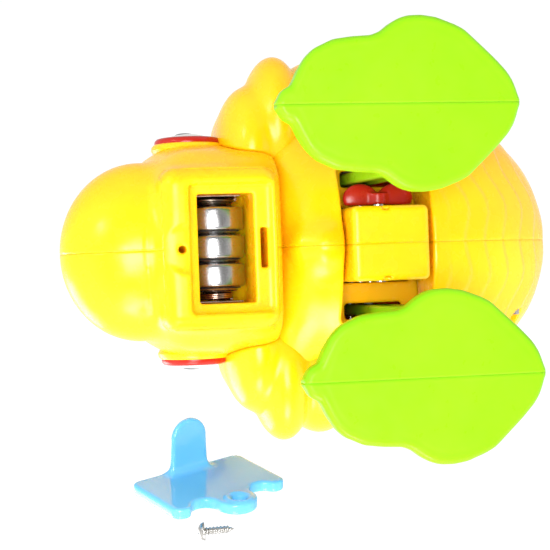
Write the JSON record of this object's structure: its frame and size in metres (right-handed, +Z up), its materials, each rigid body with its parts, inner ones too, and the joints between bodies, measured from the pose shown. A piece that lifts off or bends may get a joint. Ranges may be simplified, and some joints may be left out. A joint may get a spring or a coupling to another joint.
{
  "type": "wind-up hopping chick toy",
  "caption": "Wind-up toy chick of moulded plastic that hops on two crank-driven feet, with a button-cell bay under its head, its cover and screw taken off.",
  "frame": {"origin": "on the floor the chick stands on, midway between its two feet", "axes": "+Z up, the bill points to -Y, the chick's left is +X"},
  "size_m": [0.0912, 0.1033, 0.0837],
  "materials": {
    "yellow_shell": "bright yellow moulded plastic, soft gloss",
    "yellow_case": "yellow moulded plastic",
    "lime_foot": "lime green moulded plastic, soft gloss",
    "red_plastic": "red moulded plastic",
    "white_plastic": "white gloss",
    "black_plastic": "black gloss",
    "white_nylon": "natural nylon",
    "cell_steel": "bright nickel-plated steel",
    "dark_spring": "dark steel wire",
    "copper_spring": "copper-coloured wire",
    "spring_steel": "blued spring strip",
    "axle_steel": "ground steel",
    "screw_steel": "zinc-plated steel",
    "blue_cover": "sky blue translucent moulded plastic",
    "green_board": "printed circuit board",
    "clear_lamp": "clear lamp"
  },
  "bodies": {
    "chicken": {"battery_box": "yellow_case", "battery_cell_1": "cell_steel", "battery_cell_2": "cell_steel", "battery_cell_3": "cell_steel", "board_posts": "yellow_case", "body_shell_left": "yellow_shell", "body_shell_right": "yellow_shell", "buzzer": "black_plastic", "case_screws": "screw_steel", "circuit_board": "green_board", "comb": "red_plastic", "contact_spring_left": "dark_spring", "contact_spring_right": "copper_spring", "eye_ring_left": "red_plastic", "eye_ring_right": "red_plastic", "eye_socket_left": "yellow_shell", "eye_socket_right": "yellow_shell", "eyeball_left": "white_plastic", "eyeball_right": "white_plastic", "guide_pins": "screw_steel", "head_shell_left": "yellow_shell", "head_shell_right": "yellow_shell", "led_left": "clear_lamp", "led_right": "clear_lamp", "mainspring": "spring_steel", "motor_case_left": "yellow_case", "motor_case_right": "yellow_case", "pupil_left": "black_plastic", "pupil_right": "black_plastic", "shell_screws": "screw_steel", "tail": "yellow_shell", "tilt_switch": "screw_steel", "wing_left": "yellow_shell", "wing_right": "yellow_shell"},
    "crank": {"crank_shaft": "axle_steel", "crank_pinion": "white_nylon", "crank_gear": "white_nylon", "crank_disc_left": "white_nylon", "crank_disc_right": "white_nylon", "leg_retainer_left": "white_nylon", "leg_retainer_right": "white_nylon"},
    "left_leg_and_foot": {"leg_left": "lime_foot", "foot_left_inner": "lime_foot", "foot_left_outer": "lime_foot"},
    "right_leg_and_foot": {"leg_right": "lime_foot", "foot_right_inner": "lime_foot", "foot_right_outer": "lime_foot"},
    "idler": {"idler_axle": "axle_steel", "idler_gear": "white_nylon", "idler_pinion": "white_nylon"},
    "winder": {"winding_arbor": "axle_steel", "great_gear": "white_nylon", "winding_key": "red_plastic"},
    "governor": {"governor_axle": "axle_steel", "governor_pinion": "white_nylon", "governor_weights": "axle_steel"},
    "loose_cover": {"battery_cover": "blue_cover"},
    "loose_screw": {"cover_screw": "screw_steel"}
  },
  "joints": [
    {"name": "crank_spin", "type": "hinge", "parent": "chicken", "child": "crank", "pos_m": [0, 0.0033, 0.041], "axis": [1, 0, 0], "continuous": true},
    {"name": "left_leg_pivot", "type": "hinge", "parent": "crank", "child": "left_leg_and_foot", "pos_m": [0.013, 0.0017, 0.041], "axis": [1, 0, 0], "continuous": true},
    {"name": "right_leg_pivot", "type": "hinge", "parent": "crank", "child": "right_leg_and_foot", "pos_m": [-0.013, 0.0049, 0.041], "axis": [1, 0, 0], "continuous": true},
    {"name": "idler_spin", "type": "hinge", "parent": "chicken", "child": "idler", "pos_m": [0, 0.0033, 0.0335], "axis": [1, 0, 0], "continuous": true},
    {"name": "winder_spin", "type": "hinge", "parent": "chicken", "child": "winder", "pos_m": [0, 0.0033, 0.026], "axis": [1, 0, 0], "continuous": true},
    {"name": "governor_spin", "type": "hinge", "parent": "chicken", "child": "governor", "pos_m": [0, 0.0033, 0.0475], "axis": [1, 0, 0], "continuous": true},
    {"name": "cover_lift", "type": "slide", "parent": "chicken", "child": "loose_cover", "axis": [0, 0, 1], "range_m": [0, 0.04]},
    {"name": "screw_lift", "type": "slide", "parent": "chicken", "child": "loose_screw", "axis": [0, 0, 1], "range_m": [0, 0.04]}
  ],
  "couplings": [
    {"joint": "left_leg_pivot", "follows": "crank_spin", "ratio": -1},
    {"joint": "right_leg_pivot", "follows": "crank_spin", "ratio": -1},
    {"joint": "idler_spin", "follows": "crank_spin", "ratio": -0.36364},
    {"joint": "winder_spin", "follows": "crank_spin", "ratio": 0.13223},
    {"joint": "governor_spin", "follows": "crank_spin", "ratio": -2.25}
  ]
}
